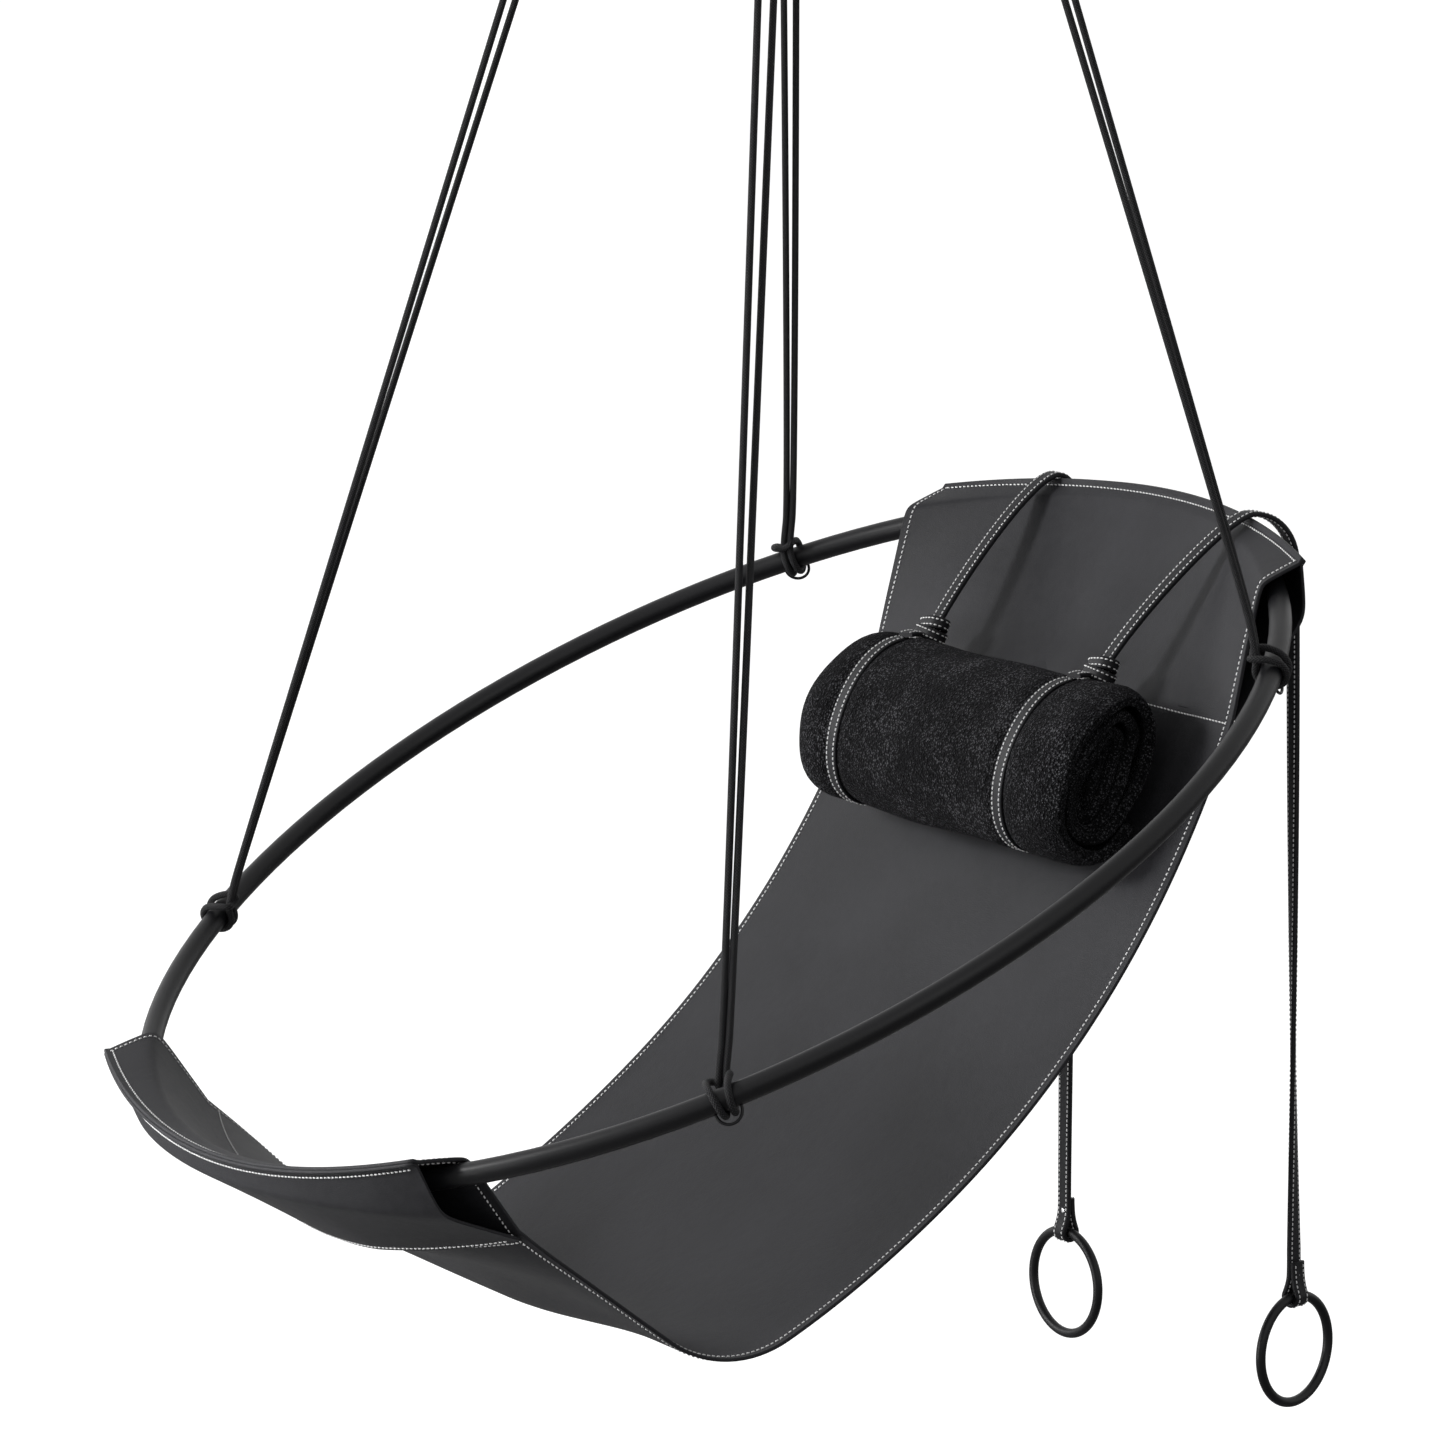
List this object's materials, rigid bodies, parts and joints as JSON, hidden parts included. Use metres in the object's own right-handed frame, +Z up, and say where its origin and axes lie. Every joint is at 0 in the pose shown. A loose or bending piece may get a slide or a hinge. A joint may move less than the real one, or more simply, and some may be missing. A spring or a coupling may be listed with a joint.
{
  "type": "hanging sling seat",
  "caption": "Leather sling swing seat in a tilted round steel hoop, hung on doubled ropes from a swivel, with a towel headrest on weighted straps.",
  "frame": {"origin": "centre of the swivel eye's bore, which the seat hangs by", "axes": "+Z up, +Y from the foot end of the seat towards its head, X across the seat, with a sitter's left at -X seen from the foot end"},
  "size_m": [1.222, 1.1951, 2.4378],
  "materials": {
    "hoop_black": "satin powder coat",
    "rope_black": "braided",
    "sling_leather": "smooth satin, white stitching",
    "strap_leather": "satin, two rows of white stitching",
    "fitting_steel": "forged, zinc plated",
    "rivet_steel": "polished",
    "ring_black": "satin",
    "towel": "terry"
  },
  "bodies": {
    "mount_eye": {"swivel_eye": "fitting_steel", "swivel_nut": "fitting_steel"},
    "yoke": {"swivel_yoke": "fitting_steel", "yoke_pin": "fitting_steel"},
    "link": {"hang_link": "fitting_steel"},
    "swing": {"hoop": "hoop_black", "rope_head_left": "rope_black", "rope_head_right": "rope_black", "rope_foot_left": "rope_black", "rope_foot_right": "rope_black", "hitch_head_left": "rope_black", "hitch_head_right": "rope_black", "hitch_foot_left": "rope_black", "hitch_foot_right": "rope_black", "eye_head_left": "hoop_black", "eye_head_right": "hoop_black", "eye_foot_left": "hoop_black", "eye_foot_right": "hoop_black", "seat_panel": "sling_leather", "head_sleeve": "sling_leather", "foot_sleeve": "sling_leather", "strap_run_left": "strap_leather", "strap_run_right": "strap_leather", "strap_bend_left": "strap_leather", "strap_bend_right": "strap_leather"},
    "headrest": {"headrest_roll": "towel", "roll_loop_left": "strap_leather", "roll_loop_right": "strap_leather", "strap_knot_left": "strap_leather", "strap_knot_right": "strap_leather"},
    "tail_left": {"strap_tail_left": "strap_leather", "rivet_left": "rivet_steel"},
    "tail_right": {"strap_tail_right": "strap_leather", "rivet_right": "rivet_steel"},
    "ring_left": {"pull_ring_left": "ring_black"},
    "ring_right": {"pull_ring_right": "ring_black"}
  },
  "joints": [
    {"name": "swivel_turn", "type": "hinge", "parent": "mount_eye", "child": "yoke", "pos_m": [0, 0, 0], "axis": [0, 0, 1], "continuous": true},
    {"name": "side_swing", "type": "hinge", "parent": "yoke", "child": "link", "pos_m": [0, 0, -0.0703], "axis": [0, 1, 0], "range_deg": [-25, 25]},
    {"name": "fore_aft_swing", "type": "hinge", "parent": "link", "child": "swing", "pos_m": [0, 0, -0.1483], "axis": [1, 0, 0], "range_deg": [-35, 35]},
    {"name": "headrest_height", "type": "hinge", "parent": "swing", "child": "headrest", "pos_m": [0, -0.62145, -1.34733], "axis": [1, 0, 0], "range_deg": [-5, 3.5], "deforming": ["strap_run_left", "strap_run_right"]},
    {"name": "left_strap_slide", "type": "slide", "parent": "swing", "child": "tail_left", "axis": [0, 0, 1], "range_m": [-0.06, 0.085], "deforming": ["strap_bend_left"]},
    {"name": "right_strap_slide", "type": "slide", "parent": "swing", "child": "tail_right", "axis": [0, 0, 1], "range_m": [-0.06, 0.085], "deforming": ["strap_bend_right"]},
    {"name": "left_ring_swing", "type": "hinge", "parent": "tail_left", "child": "ring_left", "pos_m": [-0.177, 0.44021, -2.3048], "axis": [0.9962, 0.0872, 0], "range_deg": [-60, 60]},
    {"name": "right_ring_swing", "type": "hinge", "parent": "tail_right", "child": "ring_right", "pos_m": [0.177, 0.48521, -2.3048], "axis": [0.2924, -0.9563, 0], "range_deg": [-60, 60]}
  ],
  "couplings": [
    {"joint": "left_strap_slide", "follows": "headrest_height", "m_per_rad": -0.919},
    {"joint": "right_strap_slide", "follows": "headrest_height", "m_per_rad": -0.919}
  ]
}
